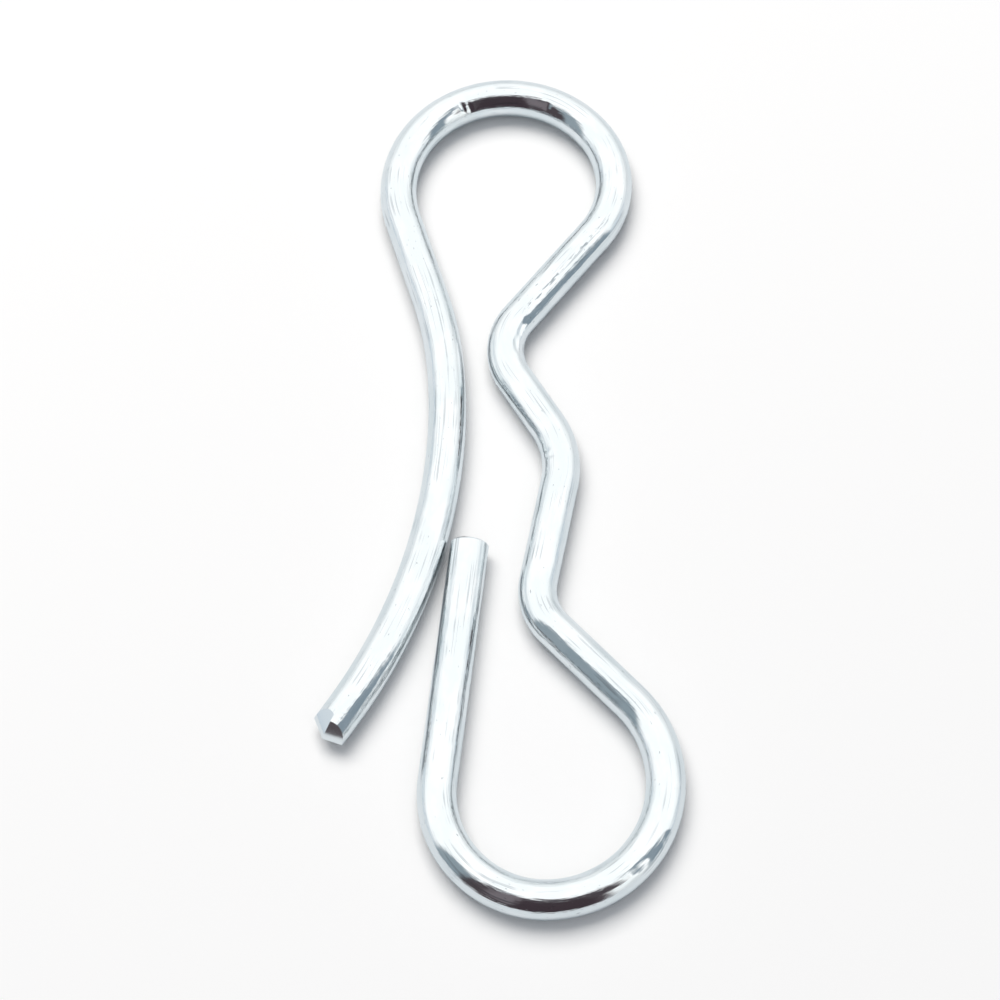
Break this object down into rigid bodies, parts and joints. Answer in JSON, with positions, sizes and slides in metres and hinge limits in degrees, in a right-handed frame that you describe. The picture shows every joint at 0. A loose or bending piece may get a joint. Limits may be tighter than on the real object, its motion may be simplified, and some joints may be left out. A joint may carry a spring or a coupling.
{
  "type": "bow tie cotter pin",
  "caption": "Bow tie cotter pin: round spring wire bent flat, with a bowed through leg, a seat bump that rests on the shaft, and a lock loop that turns its tip back to the leg.",
  "frame": {"origin": "middle of the shaft seat, in the wire's middle plane: the point where the through leg's middle line crosses the axis of the shaft that the pin holds", "axes": "+Z along the shaft's axis, square to the flat that the wire is bent in; +Y from the lock loop to the spring loop; +X from the through leg to the seat bump"},
  "size_m": [0.0277, 0.0715, 0.003],
  "materials": {
    "zinc_wire": "bright zinc plate with a faint blue cast over drawn spring steel, close to a mirror, with fine draw lines"
  },
  "bodies": {
    "root": {"bow_wire": "zinc_wire"}
  },
  "joints": []
}
